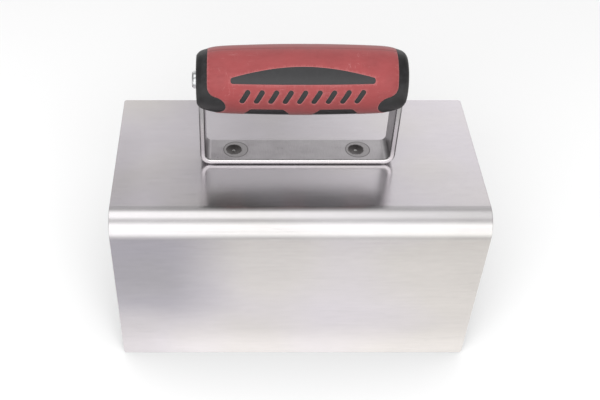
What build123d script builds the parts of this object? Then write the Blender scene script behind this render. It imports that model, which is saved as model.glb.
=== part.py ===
from build123d import *

import os

# Outside step edger: a stainless sheet bent to a right angle, a strap bracket riveted
# to its upper leg, and a two-material grip held between the bracket's arms by one screw.
#
# Frame: millimetres, +Z up. The origin is at mid-length, on the line where the planes of
# the two working faces meet: z = 0 is the tread face, under the upper leg, and y = 0 is
# the riser face, behind the leg that hangs down. X runs along the tool and the grip.

# Blade: one sheet, bent once.
BLADE_LENGTH = 203.2
BLADE_LEG = 107.95  # each leg, from the outside of the other leg to its free edge
SHEET = 1.6
BEND_OUTER_R = 12.7
FREE_CORNER_R = 1.5
SHEET_EDGE_R = 0.3

# Bracket: a flat strap with rounded edges, bent to a U and standing on the tread leg.
STRAP_WIDTH = 19.05
STRAP = 3.175
BRACKET_WIDTH = 107.95
BRACKET_BEND_R = 6.35
STRAP_EDGE_R = 1.0

# Rivets: flush in the strap and flush in the tread face.
RIVET_PITCH = 68.6
RIVET_HOLE_R = 3.175
RIVET_HEAD_R = 6.9
RIVET_TAIL_R = 4.5
RIVET_LIP = 0.35  # straight rim of the head
RIVET_FLARE_SLOPE = 0.577  # rise of the cone under the head for each mm of radius
RIVET_GAP = 0.1  # ring left open round the head
RIVET_FIT = 0.02
DISH_R = 4.25
DISH_DEPTH = 0.6
DISH_SHIFT = -1.0  # the setting tool struck a little to the left of each head
DISH_PIP_R = 0.5

# Grip: a crowned barrel, one envelope shared by the hard core and the soft sleeve.
GRIP_Y = 54.8
GRIP_Z = 51.8
GRIP_R = 18.5
CROWN_HALF = 41.0
CROWN_END_R = 17.55
SHOULDER_HALF = 51.8
SHOULDER_R = 15.5
GRIP_HALF = 55.0
GRIP_END_R = 12.9  # where the end faces go flat
SLEEVE_WALL = 2.6
LAND_DROP = 0.15  # the hard lands stop just short of the soft surface

# Outlines of the hard areas, seen from the front, measured from the grip's axis.
# All of them run straight through the grip along Y, the way the mould opens.
COLLAR_X = 49.1
COLLAR_BEND_Z = 6.0
COLLAR_WAIST = (44.8, 0.7)
TONGUE_TIP = (39.7, -4.9)
TONGUE_FOOT = (42.1, -11.0)
COLLAR_LOW = (51.0, -20.0)
BEYOND = 24.0  # clear of the barrel on every side
PALM_HALF = 36.9
PALM_LOW_Z = 8.2
PALM_END_Z = 10.6
PALM_TOP_Z = 15.1
FINGER_INNER_X, FINGER_OUTER_X = 6.4, 29.7
FINGER_SLANT = 3.2
FINGER_WAIST_Z, FINGER_TOP_Z = -12.0, -7.2
FINGER_CORNER_R = 1.8
MARK_COUNT = 9
MARK_PITCH = 7.4
MARK_LENGTH = 8.6
MARK_WIDTH = 2.6
MARK_TILT = 62  # degrees from the grip's axis
MARK_Z = 1.4

# Channels in the grip's ends for the bracket's arms, and the passage for the screw.
CHANNEL_PLAY = 0.2
SCREW_PASSAGE_R = 2.8
HEAD_PASSAGE_R = 5.1

# Handle screw: number 10, 24 threads to the inch, pan head with a cross recess.
SCREW_R = 2.4
SCREW_HEAD_R = 4.6
SCREW_HEAD = 3.4
SCREW_HEAD_ROUND = 1.4
THREAD_PITCH = 25.4 / 24
THREAD_DEPTH = 0.4
THREAD_TURNS = 12
TAPPED_HOLE_R = 2.42
CLEARANCE_HOLE_R = 2.65
RECESS_ARM = 4.6
RECESS_WEB = 1.0
RECESS_DEPTH = 1.9

# Worked out from the driving dimensions.
TOP_Z = SHEET
FRONT_Y = -SHEET
BACK_Y = FRONT_Y + BLADE_LEG
LOW_Z = TOP_Z - BLADE_LEG
STRAP_TOP_Z = TOP_Z + STRAP
ARM_OUTER_X = BRACKET_WIDTH / 2
ARM_INNER_X = ARM_OUTER_X - STRAP

GRIP_FRONT = Plane(origin=(0, GRIP_Y, GRIP_Z), x_dir=(1, 0, 0), z_dir=(0, -1, 0))
GRIP_SIDE = Plane(origin=(0, GRIP_Y, GRIP_Z), x_dir=(0, 1, 0), z_dir=(1, 0, 0))
GRIP_AXIS = Axis((0, GRIP_Y, GRIP_Z), (1, 0, 0))
RIVET_SPOTS = [(-RIVET_PITCH / 2, GRIP_Y), (RIVET_PITCH / 2, GRIP_Y)]


def flare_height(wide_r):
    """Height of the cone between a rivet's shank hole and a rim of the given radius."""
    return (wide_r - RIVET_HOLE_R) * RIVET_FLARE_SLOPE


def barrel(inset):
    """The grip's outer form, shrunk evenly by inset."""
    with BuildPart(mode=Mode.PRIVATE) as form:
        with BuildSketch(GRIP_FRONT):
            with BuildLine():
                end_x = GRIP_HALF - inset
                crown_end_r = CROWN_END_R - inset
                crown_ends = (-CROWN_HALF, crown_end_r), (CROWN_HALF, crown_end_r)
                crown = ThreePointArc(crown_ends[0], (0, GRIP_R - inset), crown_ends[1])
                right = TangentArc(crown @ 1, (SHOULDER_HALF, SHOULDER_R - inset), tangent=crown % 1)
                right_end = TangentArc(right @ 1, (end_x, GRIP_END_R - inset), tangent=right % 1)
                left = TangentArc(crown @ 0, (-SHOULDER_HALF, SHOULDER_R - inset), tangent=-(crown % 0))
                left_end = TangentArc(left @ 1, (-end_x, GRIP_END_R - inset), tangent=left % 1)
                Polyline(right_end @ 1, (end_x, 0), (-end_x, 0), left_end @ 1)
            make_face()
        revolve(axis=GRIP_AXIS)
    return form.part


def arm_columns(play, inner_x, outer_x):
    """The space of both bracket arms, with upright sides and round tops, widened by play.

    It reaches from inner_x to outer_x on each side of mid-length.
    """
    with BuildPart(mode=Mode.PRIVATE) as columns:
        for side in (-1, 1):
            with BuildSketch(GRIP_SIDE.offset(side * inner_x)):
                Circle(STRAP_WIDTH / 2 + play)
                with Locations((0, -GRIP_Z / 2)):
                    Rectangle(STRAP_WIDTH + 2 * play, GRIP_Z)
            extrude(amount=side * (outer_x - inner_x))
    return columns.part


def finger_land():
    """Outline of the right finger land in the front view, open to below."""
    with BuildSketch(mode=Mode.PRIVATE) as land:
        with BuildLine():
            FilletPolyline(
                (FINGER_INNER_X, -BEYOND),
                (FINGER_INNER_X, FINGER_WAIST_Z),
                (FINGER_INNER_X + FINGER_SLANT, FINGER_TOP_Z),
                (FINGER_OUTER_X - FINGER_SLANT, FINGER_TOP_Z),
                (FINGER_OUTER_X, FINGER_WAIST_Z),
                (FINGER_OUTER_X, -BEYOND),
                radius=FINGER_CORNER_R,
            )
            Line((FINGER_OUTER_X, -BEYOND), (FINGER_INNER_X, -BEYOND))
        make_face()
    return land.sketch


def collar():
    """Outline of the right collar in the front view: a straight edge, then a tongue."""
    with BuildSketch(mode=Mode.PRIVATE) as outline:
        with BuildLine():
            edge = Line((COLLAR_X, BEYOND), (COLLAR_X, COLLAR_BEND_Z))
            waist = TangentArc(edge @ 1, COLLAR_WAIST, tangent=edge % 1)
            tip = TangentArc(waist @ 1, TONGUE_TIP, tangent=waist % 1)
            foot = TangentArc(tip @ 1, TONGUE_FOOT, tangent=tip % 1)
            low_x = COLLAR_LOW[0]
            far_x = GRIP_HALF + BEYOND
            Polyline(foot @ 1, COLLAR_LOW, (low_x, -BEYOND), (far_x, -BEYOND), (far_x, BEYOND), edge @ 0)
        make_face()
    return outline.sketch


def palm_land():
    """Outline of the lens-shaped land above the marks, in the front view."""
    with BuildSketch(mode=Mode.PRIVATE) as land:
        with BuildLine():
            low = Line((-PALM_HALF, PALM_LOW_Z), (PALM_HALF, PALM_LOW_Z))
            right = Line(low @ 1, (PALM_HALF, PALM_END_Z))
            crown = ThreePointArc(right @ 1, (0, PALM_TOP_Z), (-PALM_HALF, PALM_END_Z))
            Line(crown @ 1, low @ 0)
        make_face()
        fillet(land.vertices(), (PALM_END_Z - PALM_LOW_Z) * 0.45)
    return land.sketch


def marks():
    """A row of equal slanted bars, the plain grip marks between the palm land and the finger lands."""
    with BuildSketch(mode=Mode.PRIVATE) as row:
        with Locations((0, MARK_Z)):
            with GridLocations(MARK_PITCH, 0, MARK_COUNT, 1):
                SlotOverall(MARK_LENGTH, MARK_WIDTH, rotation=MARK_TILT)
    return row.sketch


# ---- blade ----
with BuildPart() as blade:
    with BuildSketch(Plane.YZ.offset(-BLADE_LENGTH / 2)):
        with BuildLine():
            FilletPolyline((BACK_Y, TOP_Z), (FRONT_Y, TOP_Z), (FRONT_Y, LOW_Z), radius=BEND_OUTER_R)
            offset(amount=SHEET, side=Side.LEFT)
        make_face()
    extrude(amount=BLADE_LENGTH)
    back_corners = blade.edges().filter_by(Axis.Z).group_by(Axis.Y)[-1]
    low_corners = blade.edges().filter_by(Axis.Y).group_by(Axis.Z)[0]
    fillet(back_corners + low_corners, FREE_CORNER_R)
    # The rounding runs on from each bend round the whole rim, which is smooth at the free corners.
    fillet(blade.faces().filter_by(Axis.X).edges().filter_by(GeomType.CIRCLE), SHEET_EDGE_R)
    with Locations(*[(x, y, 0) for x, y in RIVET_SPOTS]):
        Cylinder(RIVET_HOLE_R, SHEET, align=(Align.CENTER, Align.CENTER, Align.MIN), mode=Mode.SUBTRACT)
        Cone(RIVET_TAIL_R, RIVET_HOLE_R, flare_height(RIVET_TAIL_R),
             align=(Align.CENTER, Align.CENTER, Align.MIN), mode=Mode.SUBTRACT)
blade.part.label = "blade"

# ---- handle_bracket ----
with BuildPart() as handle_bracket:
    with BuildSketch(Plane.XZ.offset(-GRIP_Y - STRAP_WIDTH / 2)):
        with BuildLine():
            FilletPolyline(
                (-ARM_OUTER_X, GRIP_Z + STRAP_WIDTH / 2),
                (-ARM_OUTER_X, TOP_Z),
                (ARM_OUTER_X, TOP_Z),
                (ARM_OUTER_X, GRIP_Z + STRAP_WIDTH / 2),
                radius=BRACKET_BEND_R,
            )
            offset(amount=STRAP, side=Side.LEFT)
        make_face()
    extrude(amount=STRAP_WIDTH)
    add(arm_columns(0, 0, BRACKET_WIDTH), mode=Mode.INTERSECT)
    fillet(handle_bracket.faces().filter_by(GeomType.PLANE).filter_by(Axis.Y).edges(), STRAP_EDGE_R)
    with Locations(*[(x, y, STRAP_TOP_Z) for x, y in RIVET_SPOTS]):
        Hole(RIVET_HOLE_R, STRAP)
        Hole(RIVET_HEAD_R + RIVET_GAP, RIVET_LIP)
    with Locations(*[(x, y, STRAP_TOP_Z - RIVET_LIP) for x, y in RIVET_SPOTS]):
        Cone(RIVET_HOLE_R, RIVET_HEAD_R + RIVET_GAP, flare_height(RIVET_HEAD_R + RIVET_GAP),
             align=(Align.CENTER, Align.CENTER, Align.MAX), mode=Mode.SUBTRACT)
    with Locations(Plane(origin=(-ARM_OUTER_X, GRIP_Y, GRIP_Z), z_dir=(-1, 0, 0))):
        Hole(CLEARANCE_HOLE_R, STRAP)
    with Locations(Plane(origin=(ARM_OUTER_X, GRIP_Y, GRIP_Z), z_dir=(1, 0, 0))):
        Hole(TAPPED_HOLE_R, STRAP)
handle_bracket.part.label = "handle_bracket"


# ---- rivet_left, rivet_right ----
def rivet(x):
    """A flush rivet: flared head with a shallow dish and a centre pip, shank, flared tail."""
    shank_r = RIVET_HOLE_R - RIVET_FIT
    head_low_z = STRAP_TOP_Z - RIVET_LIP
    with BuildPart(mode=Mode.PRIVATE) as body:
        with BuildSketch(Plane(origin=(x, GRIP_Y, 0), x_dir=(1, 0, 0), z_dir=(0, -1, 0))):
            Polygon(
                (0, 0),
                (RIVET_TAIL_R - RIVET_FIT, 0),
                (shank_r, flare_height(RIVET_TAIL_R)),
                (shank_r, head_low_z - flare_height(RIVET_HEAD_R)),
                (RIVET_HEAD_R, head_low_z),
                (RIVET_HEAD_R, STRAP_TOP_Z),
                (0, STRAP_TOP_Z),
                align=None,
            )
        revolve(axis=Axis((x, GRIP_Y, 0), (0, 0, 1)))
        dish_ball_r = (DISH_R**2 + DISH_DEPTH**2) / (2 * DISH_DEPTH)
        dish_z = STRAP_TOP_Z - DISH_DEPTH
        with Locations((x + DISH_SHIFT, GRIP_Y, dish_z + dish_ball_r)):
            Sphere(dish_ball_r, mode=Mode.SUBTRACT)
        with Locations((x + DISH_SHIFT, GRIP_Y, dish_z)):
            Sphere(DISH_PIP_R)
    return body.part


with BuildPart() as rivet_left:
    add(rivet(-RIVET_PITCH / 2))
rivet_left.part.label = "rivet_left"

with BuildPart() as rivet_right:
    add(rivet(RIVET_PITCH / 2))
rivet_right.part.label = "rivet_right"

# ---- grip_core ----
with BuildPart(mode=Mode.PRIVATE) as hard_areas:
    with BuildSketch(GRIP_FRONT):
        add(collar())
        add(finger_land())
        mirror(about=Plane.YZ)
        add(palm_land())
        add(marks())
    extrude(amount=BEYOND, both=True)

with BuildPart() as grip_core:
    add(barrel(LAND_DROP))
    add(hard_areas.part, mode=Mode.INTERSECT)
    add(barrel(SLEEVE_WALL))
    channels = arm_columns(CHANNEL_PLAY, ARM_INNER_X - CHANNEL_PLAY, ARM_OUTER_X + CHANNEL_PLAY)
    add(channels, mode=Mode.SUBTRACT)
    with BuildSketch(GRIP_SIDE):
        Circle(SCREW_PASSAGE_R)
    extrude(amount=ARM_INNER_X, both=True, mode=Mode.SUBTRACT)
    with BuildSketch(GRIP_SIDE.offset(-ARM_OUTER_X)):
        Circle(HEAD_PASSAGE_R)
    extrude(amount=-BEYOND, mode=Mode.SUBTRACT)
grip_core.part.label = "grip_core"

# ---- grip_sleeve ----
with BuildPart() as grip_sleeve:
    add(barrel(0))
    add(barrel(SLEEVE_WALL), mode=Mode.SUBTRACT)
    add(hard_areas.part, mode=Mode.SUBTRACT)
grip_sleeve.part.label = "grip_sleeve"

# ---- handle_screw ----
with BuildPart() as handle_screw:
    seat_x = -ARM_OUTER_X
    head_x = seat_x - SCREW_HEAD
    thread_x = ARM_OUTER_X - THREAD_TURNS * THREAD_PITCH
    with BuildSketch(GRIP_FRONT) as half_section:
        with BuildLine():
            thread = []
            for turn in range(THREAD_TURNS):
                crest_x = thread_x + turn * THREAD_PITCH
                thread.append((crest_x, SCREW_R))
                thread.append((crest_x + THREAD_PITCH / 2, SCREW_R - THREAD_DEPTH))
            tip = [(ARM_OUTER_X, SCREW_R - THREAD_DEPTH / 2), (ARM_OUTER_X, 0)]
            head = [(head_x, 0), (head_x, SCREW_HEAD_R), (seat_x, SCREW_HEAD_R), (seat_x, SCREW_R)]
            Polyline(*head, *thread, *tip, close=True)
        make_face()
        head_corner = half_section.vertices().group_by(Axis.X)[0].sort_by(Axis.Y)[-1]
        fillet(head_corner, SCREW_HEAD_ROUND)
    revolve(axis=GRIP_AXIS)
    with BuildSketch(GRIP_SIDE.offset(head_x)):
        Rectangle(RECESS_ARM, RECESS_WEB)
        Rectangle(RECESS_WEB, RECESS_ARM)
    extrude(amount=RECESS_DEPTH, taper=6, mode=Mode.SUBTRACT)
handle_screw.part.label = "handle_screw"

# ---- write one file for each piece ----
os.makedirs("parts", exist_ok=True)
for piece in (blade, handle_bracket, rivet_left, rivet_right, grip_core, grip_sleeve, handle_screw):
    export_step(piece.part, f"parts/{piece.part.label}.step")
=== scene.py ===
import math

import bmesh
import bpy
import numpy as np
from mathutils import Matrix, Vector, geometry, kdtree

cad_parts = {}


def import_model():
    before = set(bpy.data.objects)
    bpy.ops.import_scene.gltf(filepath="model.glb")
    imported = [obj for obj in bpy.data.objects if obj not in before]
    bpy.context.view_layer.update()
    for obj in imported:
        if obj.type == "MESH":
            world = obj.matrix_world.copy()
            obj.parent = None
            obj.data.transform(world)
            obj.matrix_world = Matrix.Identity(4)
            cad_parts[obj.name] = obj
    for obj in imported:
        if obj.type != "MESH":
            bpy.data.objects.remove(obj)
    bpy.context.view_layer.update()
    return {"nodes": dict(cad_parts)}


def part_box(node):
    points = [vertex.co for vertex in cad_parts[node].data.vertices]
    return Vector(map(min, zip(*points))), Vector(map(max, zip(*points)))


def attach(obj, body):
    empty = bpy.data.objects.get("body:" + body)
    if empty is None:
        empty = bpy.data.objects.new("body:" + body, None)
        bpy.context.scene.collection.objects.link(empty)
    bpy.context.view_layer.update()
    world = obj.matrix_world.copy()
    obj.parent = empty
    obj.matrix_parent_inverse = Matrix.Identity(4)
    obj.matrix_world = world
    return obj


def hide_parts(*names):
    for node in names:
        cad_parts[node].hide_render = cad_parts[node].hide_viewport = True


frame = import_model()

# Looks for the step edger, in the row's frame: X along the tool, the riser leg on the -Y side, +Z up.
# Objects are in metres. Materials and the sleeve's outlines work in millimetres. Places and sizes
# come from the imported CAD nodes.

MM = 0.001
SLEEVE_LOW, SLEEVE_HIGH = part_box("grip_sleeve")
BLADE_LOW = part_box("blade")[0]
GRIP_AXIS_Y = (SLEEVE_LOW.y + SLEEVE_HIGH.y) / 2
GRIP_AXIS_Z = (SLEEVE_LOW.z + SLEEVE_HIGH.z) / 2
FLOOR_Z = BLADE_LOW.z
STRAP_FRONT_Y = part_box("handle_bracket")[0].y / MM


def rgb(red, green, blue):
    return (red, green, blue, 1.0)


BLACK, WHITE = rgb(0, 0, 0), rgb(1, 1, 1)
STEEL_WARM = rgb(0.79, 0.75, 0.735)
STEEL_COOL = rgb(0.78, 0.738, 0.775)
STEEL_NEUTRAL = rgb(0.77, 0.755, 0.755)
STRAP_FACE = rgb(0.47, 0.44, 0.46), rgb(0.57, 0.54, 0.56)
STRAP_FOOT_HIGHLIGHT = rgb(0.88, 0.86, 0.86)
STRAP_ARM_HIGHLIGHT = rgb(0.56, 0.54, 0.55)
RIVET_RIM = rgb(0.34, 0.32, 0.325), rgb(0.47, 0.45, 0.46)
RIVET_DISH = rgb(0.055, 0.05, 0.05), rgb(0.12, 0.11, 0.11)
RIVET_GAP = rgb(0.2, 0.19, 0.19)
RIVET_HIGHLIGHT = rgb(0.6, 0.59, 0.58)
ZINC = rgb(0.72, 0.73, 0.74)
PLASTIC = rgb(0.010, 0.0095, 0.010), rgb(0.020, 0.020, 0.022)
PLASTIC_SHEEN = rgb(0.036, 0.036, 0.038)
RED = rgb(0.250, 0.040, 0.042), rgb(0.30, 0.049, 0.051)
RED_MOTTLE = rgb(0.34, 0.068, 0.071)
RED_SCUFF = rgb(0.55, 0.25, 0.25)
RED_GREY_ZONE = rgb(0.30, 0.10, 0.10)
RED_LIP_HIGHLIGHT = rgb(0.52, 0.20, 0.20)
RED_GROOVE_SHADE = rgb(0.09, 0.02, 0.02)
RED_REFLECTED_SHADE = rgb(0.02, 0.018, 0.019)
FLOOR_PATCH = rgb(0.59, 0.60, 0.63)
FLOOR_LEFT = rgb(0.9, 0.9, 0.88)
FLOOR_RIGHT = rgb(1.0, 1.0, 0.975)
CAMERA_SEES = rgb(0.95, 0.95, 0.95)

STEEL_GRAIN_DEPTH = 0.0012
SMALL_METAL_GRAIN_DEPTH = 0.002
MOULDED_TEXTURE_DEPTH = 0.02
HAZE_SHARE, HAZE_ROUGH = 0.12, 0.5
DISH_R = 4.25  # the struck dish in each rivet head
DISH_SHIFT = -1.0  # how far the dish sits from the head's middle
RIVET_HEAD_R = 6.8
RIVET_HIGHLIGHT_R = 0.95


# ---------------------------------------------------------------- shader helpers
class Nodes:
    """Writes one node tree: each call adds a node, links sockets given as inputs, and returns an output."""

    def __init__(self, tree):
        self.tree = tree
        tree.nodes.clear()

    def add(self, kind, inputs=None, **settings):
        node = self.tree.nodes.new(kind)
        for name, value in settings.items():
            setattr(node, name, value)
        for key, value in (inputs or {}).items():
            if isinstance(value, bpy.types.NodeSocket):
                self.tree.links.new(value, node.inputs[key])
            else:
                node.inputs[key].default_value = value
        return node

    def math(self, operation, *values):
        return self.add("ShaderNodeMath", dict(enumerate(values)), operation=operation).outputs[0]

    def plus(self, first, second):
        return self.math("ADD", first, second)

    def minus(self, first, second):
        return self.math("SUBTRACT", first, second)

    def size(self, value):
        return self.math("ABSOLUTE", value)

    def times(self, first, *others):
        product = first
        for value in others:
            product = self.math("MULTIPLY", product, value)
        return product

    def length(self, first, second):
        squares = [self.math("POWER", value, 2.0) for value in (first, second)]
        return self.math("SQRT", self.plus(*squares))

    def position(self, stretch=(1, 1, 1)):
        """Place on the object in millimetres, times stretch along each axis."""
        place = self.add("ShaderNodeTexCoord").outputs["Object"]
        scale = tuple(s / MM for s in stretch)
        return self.add("ShaderNodeMapping", {"Vector": place, "Scale": scale}).outputs[0]

    def split(self, vector):
        return tuple(self.add("ShaderNodeSeparateXYZ", {0: vector}).outputs)

    def noise(self, size_mm, stretch=(1, 1, 1), detail=2.0, seed=0.0):
        """Smooth noise from 0 to 1 with features about size_mm across, longer where stretch is under 1."""
        where = self.position(stretch)
        inputs = {"Vector": where, "W": seed, "Scale": 1 / size_mm, "Detail": detail, "Roughness": 0.5}
        return self.add("ShaderNodeTexNoise", inputs, noise_dimensions="4D").outputs["Fac"]

    def ramp(self, value, low, high, out_low=0.0, out_high=1.0):
        """Straight line from low to high, held at both ends."""
        inputs = {"Value": value, "From Min": low, "From Max": high, "To Min": out_low, "To Max": out_high}
        return self.add("ShaderNodeMapRange", inputs).outputs[0]

    def mix(self, share, first, second):
        node = self.add("ShaderNodeMix", data_type="RGBA")
        for socket, value in ((node.inputs[0], share), (node.inputs[6], first), (node.inputs[7], second)):
            if isinstance(value, bpy.types.NodeSocket):
                self.tree.links.new(value, socket)
            else:
                socket.default_value = value
        return node.outputs[2]

    def bump(self, height, depth_mm, strength=1.0):
        inputs = {"Height": height, "Distance": depth_mm * MM, "Strength": strength}
        return self.add("ShaderNodeBump", inputs).outputs[0]

    def light_path(self):
        return self.add("ShaderNodeLightPath").outputs

    def grey(self, level):
        return self.add("ShaderNodeCombineColor", {0: level, 1: level, 2: level}).outputs[0]

    def principled(self, colour, rough, normal, metallic=1.0, extra=None):
        inputs = {"Base Color": colour, "Metallic": metallic, "Roughness": rough, "Normal": normal}
        inputs.update(extra or {})
        return self.add("ShaderNodeBsdfPrincipled", inputs).outputs[0]

    def finish(self, shader):
        self.add("ShaderNodeOutputMaterial", {"Surface": shader})


def new_material(name):
    material = bpy.data.materials.new(name)
    material.use_nodes = True
    return material, Nodes(material.node_tree)


def dress(piece, material):
    """Puts one material on the whole of a piece."""
    piece.data.materials.clear()
    piece.data.materials.append(material)


# ---------------------------------------------------------------- materials
def sheet_steel():
    """Cold-rolled stainless sheet: cloudy mirror with a fine grain along the tool and a few hairlines."""
    material, n = new_material("sheet_steel")
    grain = n.noise(0.35, (0.02, 1, 1), detail=3)
    clouds = n.noise(38, (0.6, 1, 1), detail=2, seed=3)
    tint = n.noise(48, (0.8, 1, 1), detail=0.6, seed=7)
    fleck = n.noise(3.0, (0.5, 1, 1), detail=3, seed=15)
    scratch = n.noise(6, (0.05, 1, 1), detail=1, seed=16)
    x, y, z = n.split(n.position())
    # The riser's right side looks warmer than its left, and the tread cooler than the riser.
    riser = n.ramp(y, 5, -1)
    tint = n.plus(tint, n.times(n.ramp(x, -90, 90, 0.1, -0.12), riser))
    tint = n.plus(tint, n.ramp(riser, 0, 1, 0.12, 0.0))
    colour = n.mix(n.ramp(tint, 0.36, 0.64), STEEL_WARM, STEEL_COOL)
    # The bend looks more neutral than the flat legs.
    bend = n.times(n.ramp(y, 13, 9), n.ramp(z, -13, -9))
    colour = n.mix(n.times(bend, 0.65), colour, STEEL_NEUTRAL)
    shade = n.times(
        n.ramp(grain, 0.3, 0.7, 0.955, 1.0),
        n.ramp(clouds, 0.35, 0.65, 0.94, 1.0),
        n.ramp(fleck, 0.3, 0.7, 0.975, 1.0),
        n.ramp(n.size(n.minus(scratch, 0.5)), 0.0, 0.004, 0.96, 1.0),
    )
    # Painted shade: the tread's colour is darker at its front left and along its left end.
    front_left = n.times(n.ramp(x, -10, -60), n.ramp(y, 75, 35))
    left_end = n.times(n.ramp(x, -84, -97), n.ramp(y, 85, 65))
    dull = n.times(n.plus(front_left, left_end), n.ramp(y, 8, 12))
    shade = n.times(shade, n.ramp(dull, 0, 2, 1.0, 0.82))
    # Painted contact shadow on the sheet along the front edge of the strap's foot.
    ahead = n.minus(STRAP_FRONT_Y, y)
    under = n.times(n.ramp(ahead, 1.5, 0.9), n.ramp(n.size(x), 51, 46), n.ramp(ahead, -2, -1))
    shade = n.times(shade, n.ramp(under, 0, 1, 1.0, 0.35))
    colour = n.mix(shade, BLACK, colour)
    # Dull surfaces such as the grip's underside get no light back from the sheet.
    colour = n.mix(n.light_path()["Is Diffuse Ray"], colour, BLACK)
    rough = n.plus(n.ramp(clouds, 0.3, 0.7, 0.185, 0.23), n.ramp(grain, 0.2, 0.8, -0.02, 0.03))
    normal = n.bump(grain, STEEL_GRAIN_DEPTH)
    tangent = n.add("ShaderNodeTangent", direction_type="RADIAL", axis="X").outputs[0]
    mirror = n.principled(colour, rough, normal, extra={"Anisotropic": 0.3, "Tangent": tangent})
    haze = n.principled(colour, HAZE_ROUGH, normal)
    n.finish(n.add("ShaderNodeMixShader", {0: HAZE_SHARE, 1: mirror, 2: haze}).outputs[0])
    return material


def strap_steel():
    """Strap: grey brushed faces, and rounded edges polished smoother, with a painted highlight in their
    colour.
    """
    material, n = new_material("strap_steel")
    grain = n.noise(0.25, (1, 0.08, 0.08), detail=3, seed=1)
    blotches = n.noise(5, (0.5, 1, 1), detail=3, seed=2)
    x, _, z = n.split(n.position())
    facing_x, facing_y, _ = n.split(n.add("ShaderNodeNewGeometry").outputs["Normal"])
    face = n.mix(n.ramp(blotches, 0.3, 0.7), *STRAP_FACE)
    face = n.mix(n.ramp(grain, 0.3, 0.7, 0.85, 1.0), BLACK, face)
    # Painted shade on the arms' flat faces, where the grip shades them, the right one's most; the foot is a
    # little paler to the right.
    painted_shade_share = n.ramp(facing_x, -0.3, 0.3, 0.63, 0.3)
    face = n.mix(n.times(n.size(facing_x), painted_shade_share), face, BLACK)
    face = n.mix(n.ramp(x, -40, 40, 0.0, 0.1), face, WHITE)
    # Painted highlight on the rounded edges, dimmer on the arms than on the foot, and painted shade on the
    # arms' edges where they turn towards +X.
    painted_highlight = n.mix(n.ramp(z, 5, 12), STRAP_FOOT_HIGHLIGHT, STRAP_ARM_HIGHLIGHT)
    painted_highlight = n.mix(n.times(n.ramp(facing_x, 0.0, 0.5), n.ramp(z, 5, 12, 0, 0.35)), painted_highlight, BLACK)
    edge = n.ramp(n.size(facing_y), 0.25, 0.75)
    rough = n.plus(n.ramp(blotches, 0.3, 0.7, 0.28, 0.36), n.ramp(grain, 0.2, 0.8, -0.04, 0.06))
    rough = n.times(rough, n.ramp(edge, 0, 1, 1.0, 0.55))
    n.finish(n.principled(n.mix(edge, face, painted_highlight), rough, n.bump(grain, STEEL_GRAIN_DEPTH)))
    return material


def rivet_steel(node_name):
    """Rivet head: a grey turned rim round a dark dish, and a painted highlight in the dish's middle."""
    material, n = new_material(node_name + "_steel")
    low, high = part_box(node_name)
    centre_x = (low.x + high.x) / 2 / MM
    x, y, _ = n.split(n.position())
    across = n.minus(y, GRIP_AXIS_Y / MM)
    from_head = n.length(n.minus(x, centre_x), across)
    wobble = n.ramp(n.noise(1.2, detail=3, seed=5), 0.3, 0.7, -0.25, 0.25)
    from_dish = n.plus(n.length(n.minus(x, centre_x + DISH_SHIFT), across), wobble)
    grain = n.noise(0.3, detail=3, seed=5)
    rim = n.mix(n.ramp(grain, 0.3, 0.7), *RIVET_RIM)
    rim = n.mix(n.ramp(from_head, RIVET_HEAD_R - 0.5, RIVET_HEAD_R), rim, RIVET_GAP)
    dark = n.mix(n.ramp(grain, 0.3, 0.7), *RIVET_DISH)
    colour = n.mix(n.ramp(from_dish, DISH_R + 0.5, DISH_R - 0.1), rim, dark)
    # Painted highlight at the middle of the dish.
    colour = n.mix(n.ramp(from_dish, RIVET_HIGHLIGHT_R, 0.5), colour, RIVET_HIGHLIGHT)
    rough = n.ramp(grain, 0.2, 0.8, 0.26, 0.38)
    n.finish(n.principled(colour, rough, n.bump(grain, SMALL_METAL_GRAIN_DEPTH)))
    return material


def zinc_plate():
    """Bright zinc on the screw, with a faint unevenness."""
    material, n = new_material("zinc_plate")
    grain = n.noise(0.4, detail=3, seed=6)
    rough = n.ramp(grain, 0.2, 0.8, 0.16, 0.28)
    n.finish(n.principled(ZINC, rough, n.bump(grain, SMALL_METAL_GRAIN_DEPTH)))
    return material


def black_plastic():
    """Fine-textured hard black plastic with a little dust."""
    material, n = new_material("black_plastic")
    texture = n.noise(0.22, detail=2, seed=8)
    dust = n.noise(2.5, detail=4, seed=9)
    x, _, z = n.split(n.position())
    colour = n.mix(n.ramp(dust, 0.45, 0.75), *PLASTIC)
    # Painted sheen: the top of the land under the palm is paler than the collars.
    upper = n.ramp(z, GRIP_AXIS_Z / MM + 6, GRIP_AXIS_Z / MM + 8)
    painted_sheen = n.times(upper, n.ramp(n.size(x), 42, 38), 0.5)
    colour = n.mix(painted_sheen, colour, PLASTIC_SHEEN)
    rough = n.ramp(dust, 0.3, 0.7, 0.38, 0.48)
    n.finish(n.principled(colour, rough, n.bump(texture, MOULDED_TEXTURE_DEPTH, 0.5), metallic=0.0))
    return material


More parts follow.
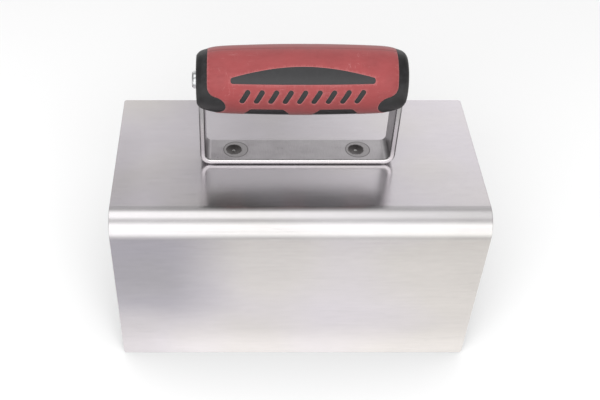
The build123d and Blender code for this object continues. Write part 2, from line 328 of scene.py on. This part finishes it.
def red_rubber():
    """Soft red overmould: satin, faintly mottled, scuffed pale, with painted lip highlights, painted groove
    shade and a greyer top.
    """
    material, n = new_material("red_rubber")
    texture = n.noise(0.3, detail=2, seed=10)
    clouds = n.noise(9, detail=3, seed=11)
    mottle = n.noise(1.6, (0.5, 1, 1), detail=3, seed=12)
    colour = n.mix(n.ramp(clouds, 0.3, 0.7), *RED)
    colour = n.mix(n.ramp(mottle, 0.35, 0.75, 0.0, 0.35), colour, RED_MOTTLE)
    # Fine scuffs: thin bands of stretched noise, in two directions.
    for seed, stretch in ((13, (0.06, 1, 1)), (14, (0.5, 0.09, 0.09))):
        line = n.noise(1.4, stretch, detail=1, seed=seed)
        thin = n.ramp(n.size(n.minus(line, 0.5)), 0.006, 0.0)
        where = n.ramp(n.noise(7, detail=1, seed=seed + 5), 0.5, 0.65)
        colour = n.mix(n.times(thin, where, 0.4), colour, RED_SCUFF)
    # A greyer zone behind the parting line, on the upper side.
    _, y, z = n.split(n.position())
    behind = n.ramp(y, GRIP_AXIS_Y / MM + 1.0, GRIP_AXIS_Y / MM + 2.2)
    upper = n.ramp(z, GRIP_AXIS_Z / MM + 8, GRIP_AXIS_Z / MM + 14)
    colour = n.mix(n.times(behind, upper, 0.25), colour, RED_GREY_ZONE)
    # Painted highlight on the rounded lips where the red meets the black.
    lip = n.add("ShaderNodeAttribute", attribute_name="lip").outputs["Fac"]
    colour = n.mix(n.times(lip, 0.4), colour, RED_LIP_HIGHLIGHT)
    # Painted shade along the shallow groove of the parting line.
    groove = n.add("ShaderNodeAttribute", attribute_name="groove").outputs["Fac"]
    colour = n.mix(n.times(groove, 0.75), colour, RED_GROOVE_SHADE)
    # Painted shade: rays off the hazy steel see the grip nearly black, so its shaded underside shows there
    # almost grey.
    colour = n.mix(n.times(n.light_path()["Is Glossy Ray"], 0.85), colour, RED_REFLECTED_SHADE)
    rough = n.ramp(clouds, 0.3, 0.7, 0.44, 0.56)
    sheen = {"Sheen Weight": 0.12, "Sheen Roughness": 0.5}
    normal = n.bump(texture, MOULDED_TEXTURE_DEPTH, 0.4)
    n.finish(n.principled(colour, rough, normal, metallic=0.0, extra=sheen))
    return material


# ---------------------------------------------------------------- soft sleeve
# The sleeve is drawn flat: u runs along the grip and v round it, both in millimetres at the full
# radius. v is cut open at SEAM, behind the top, where the red runs unbroken from collar to collar.
SEAM = math.radians(108)
LIP = 0.45  # rounding where the soft red rises out of the hard black
LIP_STEPS = 4
LOOP_STEP = 0.4
OUTER_GRID, INNER_GRID = 1.1, 2.4
ROW_STEP = 0.87  # rows of a triangle grid, over its spacing
OUTLINE_GAP = 0.55  # how far the grid stays off the outlines, over its spacing
SEAM_GAP = 0.05
PARTING = math.radians(94.5)
PARTING_ROWS = (-0.7, -0.4, -0.2, 0.0, 0.2, 0.4, 0.7)
PARTING_CLEAR = 1.1
PARTING_HALF = 0.45
PARTING_DEPTH = 0.13
SLEEVE_WALL = 2.6
CROWN_DROP = 2.2  # how much thinner than the middle the barrel may be at its ends
CROWN_DEGREE = 5
WALL_MOST, SKIN_LEAST = 0.6, 0.75  # how far a wall and the barrel's skin look outwards
SIDE_MOST = 0.9  # a land that stays below this share of the barrel's height has walls along Y
WELD_PACKED, WELD_NEW = 2e-6, 3e-6
TRIANGLE_TOLERANCE = 1e-5
FULL_R = (SLEEVE_HIGH.z - SLEEVE_LOW.z) / 2 / MM
TURN = 2 * math.pi * FULL_R


class Sleeve:
    """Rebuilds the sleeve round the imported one's own outlines, with a rounded lip at every edge."""

    def __init__(self, node):
        self.bm = bmesh.new()
        self.bm.from_mesh(node.data)
        bmesh.ops.remove_doubles(self.bm, verts=self.bm.verts, dist=WELD_PACKED)
        outer = [v for v in self.bm.verts if self.is_outer(v)]
        along = np.array([v.co.x / MM for v in outer])
        radii = np.array([self.radius(v) for v in outer])
        self.fit = np.polyfit(along ** 2, radii, CROWN_DEGREE)
        self.out = bmesh.new()
        self.lip = self.out.verts.layers.float.new("lip")
        self.groove = self.out.verts.layers.float.new("groove")

    @staticmethod
    def radius(vert):
        return math.hypot(vert.co.y - GRIP_AXIS_Y, vert.co.z - GRIP_AXIS_Z) / MM

    def is_outer(self, vert):
        share = vert.co.x / SLEEVE_HIGH.x
        return self.radius(vert) > FULL_R - SLEEVE_WALL / 2 - CROWN_DROP * share * share

    def envelope(self, u):
        return float(np.polyval(self.fit, u * u))

    @staticmethod
    def outwardness(face):
        """1 for a face that looks straight out from the grip's axis, 0 or less for a wall."""
        middle = face.calc_center_median()
        return face.normal.dot(Vector((0, middle.y - GRIP_AXIS_Y, middle.z - GRIP_AXIS_Z)).normalized())

    @staticmethod
    def unwrapped(vert):
        """How far along the grip a point is, and its angle round it: 0 in front, a right angle on top."""
        return vert.co.x / MM, math.atan2(vert.co.z - GRIP_AXIS_Z, -(vert.co.y - GRIP_AXIS_Y))

    def rims(self):
        """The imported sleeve's outer edges, as closed loops of (u, angle)."""
        links = {}
        for edge in self.bm.edges:
            if len(edge.link_faces) != 2 or not all(self.is_outer(v) for v in edge.verts):
                continue
            wall, skin = sorted(self.outwardness(face) for face in edge.link_faces)
            if wall < WALL_MOST and skin > SKIN_LEAST:
                for one, other in (edge.verts, reversed(edge.verts)):
                    links.setdefault(one, []).append(other)
        loops = []
        todo = sorted(links, key=lambda v: v.index)
        used = set()
        for start in todo:
            if start in used:
                continue
            loop = [start]
            used.add(start)
            while True:
                ahead = [v for v in links[loop[-1]] if v not in used]
                if not ahead:
                    break
                loop.append(ahead[0])
                used.add(ahead[0])
            loops.append([self.unwrapped(v) for v in loop])
        return loops

    def flat(self, loop):
        """One loop in u and v, unrolled without jumps; says whether it runs right round the grip."""
        points = []
        last = None
        for u, angle in loop:
            if last is not None:
                angle += 2 * math.pi * round((last - angle) / (2 * math.pi))
            points.append((u, angle * FULL_R))
            last = angle
        round_grip = abs(points[-1][1] - points[0][1]) > TURN / 2
        return points, round_grip

    def place(self, u, v, depth=0.0):
        """The point of the grip's surface at u, v, sunk by depth."""
        angle = v / FULL_R
        if depth < SLEEVE_WALL:
            depth += self.parting(v)
        across = (self.envelope(u) - depth) * MM
        back, up = -across * math.cos(angle), across * math.sin(angle)
        return Vector((u * MM, GRIP_AXIS_Y + back, GRIP_AXIS_Z + up))

    def parting(self, v):
        """Depth of the shallow line that the mould's two halves leave, at the top and underneath."""
        for line in (PARTING, PARTING - math.pi):
            away = abs(v - line * FULL_R)
            if away < PARTING_HALF:
                return PARTING_DEPTH * math.cos(away / PARTING_HALF * math.pi / 2) ** 2
        return 0.0

    def outlines(self):
        """Every rim as an even run of (u, v) points: lands as closed runs, collars cut at the seam."""
        top = SEAM * FULL_R
        lands, collars = [], []
        for rim in self.rims():
            points, round_grip = self.flat(rim)
            line = np.array(points)
            if round_grip:
                if line[-1, 1] < line[0, 1]:
                    line = line[::-1]
                line = np.vstack([line + [0, TURN * k] for k in range(-3, 4)])
                low, high = top - TURN, top
                ends = [[np.interp(v, line[:, 1], line[:, 0]), v] for v in (low, high)]
                inside = line[(line[:, 1] > low + SEAM_GAP) & (line[:, 1] < high - SEAM_GAP)]
                collars.append(even_run(np.vstack([ends[0], inside, ends[1]])))
            else:
                line[:, 1] -= TURN * math.ceil((line[:, 1].max() - top) / TURN)
                if signed_area(line) < 0:
                    line = line[::-1]
                lands.append(even_run(np.vstack([line, line[:1]]))[:-1])
        return lands, collars

    def inner_rim(self, line, straight):
        """Where the wall under a rim meets the inside: pulled straight along Y, or in towards the axis."""
        if not straight:
            return line.copy()
        inner = line.copy()
        for index, (u, v) in enumerate(line):
            angle = v / FULL_R
            height = self.envelope(u) * math.sin(angle) / (self.envelope(u) - SLEEVE_WALL)
            lean = math.asin(height)
            half_turns = round((angle - lean) / math.pi)
            if math.cos(angle) < 0:
                half_turns = 2 * round((angle - (math.pi - lean)) / (2 * math.pi))
                lean = math.pi - lean
            inner[index, 1] = (lean + half_turns * math.pi) * FULL_R
        return inner

    def rings(self, line, away, closed, straight):
        """The lip and the wall below one rim. Returns the lip's first run and the wall's last."""
        runs = []
        for step in range(LIP_STEPS + 1):
            roll = step / LIP_STEPS * math.pi / 2
            run = line + away * LIP * (1 - math.sin(roll))
            runs.append((run, LIP * (1 - math.cos(roll)), 1.0 if roll else 0.5))
        inner = self.inner_rim(line, straight)
        runs.append((inner, SLEEVE_WALL, 0.0))
        made = []
        for run, depth, painted_highlight in runs:
            row = []
            for u, v in run:
                vert = self.out.verts.new(self.place(u, v, depth))
                # How much painted highlight the red gets on the lip.
                vert[self.lip] = painted_highlight
                vert[self.groove] = self.parting(v) / PARTING_DEPTH
                row.append(vert)
            made.append(row)
        count = len(line)
        for upper, lower in zip(made, made[1:]):
            for i in range(count if closed else count - 1):
                j = (i + 1) % count
                self.out.faces.new((upper[i], upper[j], lower[j], lower[i]))
        return runs[0][0], inner

    def sheet(self, lands, collars, depth, spacing, rows=()):
        """Fills the red area between the collars, less the lands, with an even mesh at one depth."""
        left, right = sorted(collars, key=lambda line: line[:, 0].mean())
        low, high = right[0, 1], right[-1, 1]
        points, edges = [], []

        def add_run(line, closed):
            first = len(points)
            points.extend(Vector(p) for p in line.tolist())
            count = len(line)
            edges.extend((first + i, first + (i + 1) % count) for i in range(count if closed else count - 1))

        for line in lands:
            add_run(line, True)
        add_run(left, False)
        add_run(right, False)
        around = len(points)
        tree = kdtree.KDTree(around)
        for index, point in enumerate(points):
            tree.insert((point.x, point.y, 0), index)
        tree.balance()
        seam_steps = int((right[0, 0] - left[0, 0]) / spacing)
        seam_u = np.linspace(left[0, 0], right[0, 0], seam_steps + 1)
        for v in (low, high):
            add_run(np.array([[u, v] for u in seam_u]), False)
        row_step = spacing * ROW_STEP
        row_v = np.arange(low + row_step, high - spacing * 0.5, row_step)
        grid = [(v, i % 2) for i, v in enumerate(row_v)]
        grid = [(v, odd) for v, odd in grid if all(abs(v - r) > PARTING_CLEAR for r in rows)]
        grid += [(r + off, i % 2) for r in rows for i, off in enumerate(PARTING_ROWS)]
        for v, odd in grid:
            first_u = -SLEEVE_HIGH.x / MM + spacing * (0.5 + 0.5 * odd)
            for u in np.arange(first_u, SLEEVE_HIGH.x / MM, spacing):
                if tree.find((u, v, 0))[2] > spacing * OUTLINE_GAP:
                    points.append(Vector((u, v)))
        done = geometry.delaunay_2d_cdt(points, edges, [], 0, TRIANGLE_TOLERANCE)
        flat_verts = np.array([tuple(p) for p in done[0]])
        faces = np.array([tuple(f) for f in done[2]])
        middles = flat_verts[faces].mean(axis=1)
        border = np.vstack([left, right[::-1]])
        keep = inside_loop(middles, border)
        for line in lands:
            keep &= ~inside_loop(middles, line)
        verts = {}
        for face in faces[keep]:
            corners = []
            for index in face:
                if index not in verts:
                    verts[index] = self.out.verts.new(self.place(*flat_verts[index], depth))
                    verts[index][self.groove] = self.parting(flat_verts[index][1]) / PARTING_DEPTH
                corners.append(verts[index])
            self.out.faces.new(corners)

    def build(self, name):
        lands, collars = self.outlines()
        upper, lower = ([], []), ([], [])
        for line in lands:
            heights = np.abs(np.sin(line[:, 1] / FULL_R))
            straight = heights.max() < SIDE_MOST
            top, inner = self.rings(line, side_of(line, True), True, straight)
            upper[0].append(top)
            lower[0].append(inner)
        for line in collars:
            away = side_of(line, False)
            if line[:, 0].mean() > 0:
                away = -away
            top, inner = self.rings(line, away, False, False)
            upper[1].append(top)
            lower[1].append(inner)
        rows = [PARTING * FULL_R, (PARTING - math.pi) * FULL_R]
        self.sheet(upper[0], upper[1], 0.0, OUTER_GRID, rows)
        self.sheet(lower[0], lower[1], SLEEVE_WALL, INNER_GRID)
        bmesh.ops.remove_doubles(self.out, verts=self.out.verts, dist=WELD_NEW)
        bmesh.ops.recalc_face_normals(self.out, faces=self.out.faces)
        for face in self.out.faces:
            face.smooth = True
        mesh = bpy.data.meshes.new(name)
        self.out.to_mesh(mesh)
        self.out.free()
        self.bm.free()
        piece = bpy.data.objects.new(name, mesh)
        bpy.context.scene.collection.objects.link(piece)
        return piece


def even_run(line):
    """The same line with evenly spaced points, its ends kept."""
    steps = np.hypot(*np.diff(line, axis=0).T)
    reach = np.concatenate([[0], np.cumsum(steps)])
    count = max(8, int(reach[-1] / LOOP_STEP))
    where = np.linspace(0, reach[-1], count + 1)
    return np.column_stack([np.interp(where, reach, line[:, k]) for k in (0, 1)])


def signed_area(line):
    u, v = line.T
    return float(np.sum(u * np.roll(v, -1) - np.roll(u, -1) * v)) / 2


def side_of(line, closed):
    """Unit steps square to a line, to its right as it runs."""
    if closed:
        run = np.roll(line, -1, axis=0) - np.roll(line, 1, axis=0)
    else:
        run = np.gradient(line, axis=0)
    run /= np.hypot(*run.T)[:, None]
    return np.column_stack([run[:, 1], -run[:, 0]])


def inside_loop(points, line):
    """Which points lie inside a closed line."""
    inside = np.zeros(len(points), dtype=bool)
    low, high = line.min(axis=0), line.max(axis=0)
    near = np.all((points > low) & (points < high), axis=1)
    u, v = points[near].T
    found = np.zeros(len(u), dtype=bool)
    u0, v0 = line.T
    u1, v1 = np.roll(line, -1, axis=0).T
    for a, b, c, d in zip(u0, v0, u1, v1):
        if b != d:
            crosses = (b > v) != (d > v)
            found ^= crosses & (u < (c - a) * (v - b) / (d - b) + a)
    inside[near] = found
    return inside


soft_sleeve = Sleeve(frame["nodes"]["grip_sleeve"]).build("soft_sleeve")
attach(soft_sleeve, "root")
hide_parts("grip_sleeve")
dress(soft_sleeve, red_rubber())


LOOKS = {
    "blade": sheet_steel(),
    "handle_bracket": strap_steel(),
    "handle_screw": zinc_plate(),
    "grip_core": black_plastic(),
}
for rivet in ("rivet_left", "rivet_right"):
    LOOKS[rivet] = rivet_steel(rivet)
for node_name, look in LOOKS.items():
    dress(frame["nodes"][node_name], look)


# ---------------------------------------------------------------- stage
# What polished steel sees of the room. Each line is an angle round the grip's direction, in degrees,
# 0 behind the tool, 90 overhead, 180 in front, with the glow there of the back wall, of the overhead
# lamp, and of the screen in front.
ROOM_BY_ANGLE = [
    (0, 1.26, 0, 0), (33, 1.26, 0, 0), (37, 1.1, 0, 0), (43, 0.97, 0, 0), (49, 0.7, 0, 0), (64, 0.6, 0, 0),
    (73, 0.35, 0.3, 0), (80, 0, 1.5, 0), (110, 0, 1.5, 0),
    (118, 0, 0, 0.68), (129, 0, 0, 0.68), (148, 0, 0, 1.7), (158, 0, 0, 1.5), (176, 0, 0, 1.5),
]
# How the wall and the lamp change from left to right.
WALL_BY_SIDE = [
    (-0.9, 0.83), (-0.13, 0.79), (-0.06, 0.68), (0.0, 0.49), (0.06, 0.51), (0.14, 0.77), (0.2, 0.94),
    (0.9, 0.98),
]
LAMP_BY_SIDE = [(-0.9, 1.0), (-0.12, 1.0), (0.06, 0.86), (0.22, 0.64), (0.9, 0.62)]
# What the polished riser sees on the floor: distance in front of the riser in millimetres, and glow.
FLOOR_BY_DISTANCE = [
    (-400, 0.75), (-20, 0.7), (0, 1.24), (11, 1.2), (18, 1.02), (50, 0.98), (95, 0.93), (112, 0.66),
    (150, 0.7), (200, 1.0), (300, 1.3), (600, 1.55), (990, 1.65),
]
FLOOR_NEAREST, FLOOR_FARTHEST = -410, 1000
RAMP_TOP = 3.0  # a colour ramp holds levels up to 1, so the glows are stored over this

SOFT_FRONT, SOFT_BACK = 1.0, 0.85  # the soft light that falls on dull surfaces
FLOOR_HALF = 3.0
FLOOR_LIGHT_BACK = 0.4  # how much of the floor's light reaches dull surfaces

LAMP_ELEVATION = math.radians(145)
LAMP_SIDE = -0.1
LAMP_DISTANCE = 0.9
LAMP_SIZE = (1.2, 0.6)
LAMP_POWER = 8.5

CAMERA_PLACE = (-0.03427, -0.35181, 0.33167)
CAMERA_DOWN = math.radians(44.409)
CAMERA_LENS, CAMERA_SENSOR = 55.308, 36.0
CAMERA_SHIFT = (0.107, 0.06667)


def curve(n, value, low, high, stops):
    """A piecewise straight curve of value, from stops of place and up to three levels each."""
    ramp = n.add("ShaderNodeValToRGB", {"Fac": n.ramp(value, low, high)})
    elements = ramp.color_ramp.elements
    for index, (place, *levels) in enumerate(stops):
        where = (place - low) / (high - low)
        stop = elements[index] if index < 2 else elements.new(where)
        stop.position = where
        levels = [level / RAMP_TOP for level in levels] + [0, 0]
        stop.color = (*levels[:3], 1)
    parts = n.add("ShaderNodeSeparateColor", {0: ramp.outputs[0]}).outputs
    return [n.times(parts[k], RAMP_TOP) for k in range(3)]


def floor():
    """A plain pale floor, which polished steel sees as a softly lit card."""
    bpy.ops.mesh.primitive_plane_add(size=2 * FLOOR_HALF, location=(0, 0, FLOOR_Z))
    ground = bpy.context.object
    ground.name = "floor"
    material, n = new_material("pale_floor")
    path = n.light_path()
    shade = n.ramp(n.noise(400, detail=2), 0.3, 0.7, 0.9, 0.92)
    shade = n.times(shade, n.ramp(path["Is Diffuse Ray"], 0, 1, 1.0, FLOOR_LIGHT_BACK))
    plain = n.add("ShaderNodeBsdfPrincipled", {"Base Color": n.grey(shade), "Roughness": 0.9}).outputs[0]
    x, y, _ = n.split(n.position())
    distance = n.minus(BLADE_LOW.y / MM, y)
    glow = curve(n, distance, FLOOR_NEAREST, FLOOR_FARTHEST, FLOOR_BY_DISTANCE)[0]
    # A soft dark lilac patch that shows in the riser's upper left.
    patch = n.times(n.ramp(distance, 25, 38), n.ramp(distance, 160, 110), n.ramp(x, -30, -75))
    colour = n.mix(patch, WHITE, FLOOR_PATCH)
    # Lit a little less at the left, and warmer to the right.
    near_left = n.times(n.ramp(x, -55, -90), n.ramp(distance, 38, 25))
    colour = n.mix(near_left, colour, FLOOR_LEFT)
    colour = n.mix(n.ramp(x, 0, 120), colour, FLOOR_RIGHT)
    glow = n.add("ShaderNodeVectorMath", {0: colour, 1: n.grey(glow)}, operation="MULTIPLY").outputs[0]
    card = n.add("ShaderNodeEmission", {"Color": glow}).outputs[0]
    n.finish(n.add("ShaderNodeMixShader", {0: path["Is Glossy Ray"], 1: plain, 2: card}).outputs[0])
    dress(ground, material)


def softbox():
    """A large area light in front and above, turned to the frame's origin, that reflections leave out."""
    light = bpy.data.lights.new("front_softbox", "AREA")
    light.shape = "RECTANGLE"
    light.size, light.size_y = LAMP_SIZE
    light.energy = LAMP_POWER
    lamp = bpy.data.objects.new("front_softbox", light)
    bpy.context.scene.collection.objects.link(lamp)
    behind = LAMP_DISTANCE * math.cos(LAMP_ELEVATION)
    lamp.location = (LAMP_SIDE, behind, LAMP_DISTANCE * math.sin(LAMP_ELEVATION))
    lamp.rotation_euler = Vector(lamp.location).to_track_quat("Z", "Y").to_euler()
    lamp.visible_glossy = False


def world():
    """A studio room for polished steel, plain soft light for dull surfaces, and near white for the camera."""
    scene = bpy.context.scene
    scene.world = bpy.data.worlds.new("studio")
    scene.world.use_nodes = True
    n = Nodes(scene.world.node_tree)
    x, y, z = n.split(n.add("ShaderNodeTexCoord").outputs["Generated"])
    angle = n.times(n.math("ARCTAN2", z, y), 180 / math.pi)
    wall, lamp, screen = curve(n, angle, 0, 180, ROOM_BY_ANGLE)
    wall = n.times(wall, curve(n, x, -1, 1, WALL_BY_SIDE)[0])
    lamp = n.times(lamp, curve(n, x, -1, 1, LAMP_BY_SIDE)[0])
    room = n.plus(n.plus(wall, lamp), screen)
    # All of the room dims to the sides.
    room = n.times(room, n.ramp(n.size(x), 0.34, 0.62, 1.0, 0.3))
    soft = n.times(n.ramp(y, -1, 1, SOFT_FRONT, SOFT_BACK), n.ramp(z, 0.0, 0.5, 0.2, 1.0))
    path = n.light_path()
    level = n.mix(path["Is Glossy Ray"], n.grey(soft), n.grey(room))
    level = n.mix(path["Is Camera Ray"], level, CAMERA_SEES)
    background = n.add("ShaderNodeBackground", {"Color": level, "Strength": 1.0}).outputs[0]
    n.add("ShaderNodeOutputWorld", {"Surface": background})


def camera():
    """Looks along +Y and down, set a little left of the tool, with the picture's centre off its axis."""
    view = bpy.data.cameras.new("camera")
    view.sensor_width = CAMERA_SENSOR
    view.lens = CAMERA_LENS
    view.shift_x, view.shift_y = CAMERA_SHIFT
    eye = bpy.data.objects.new("camera", view)
    bpy.context.scene.collection.objects.link(eye)
    eye.location = CAMERA_PLACE
    eye.rotation_euler = (math.pi / 2 - CAMERA_DOWN, 0, 0)
    bpy.context.scene.camera = eye


floor()
world()
softbox()
camera()
bpy.context.scene.view_settings.view_transform = "Standard"
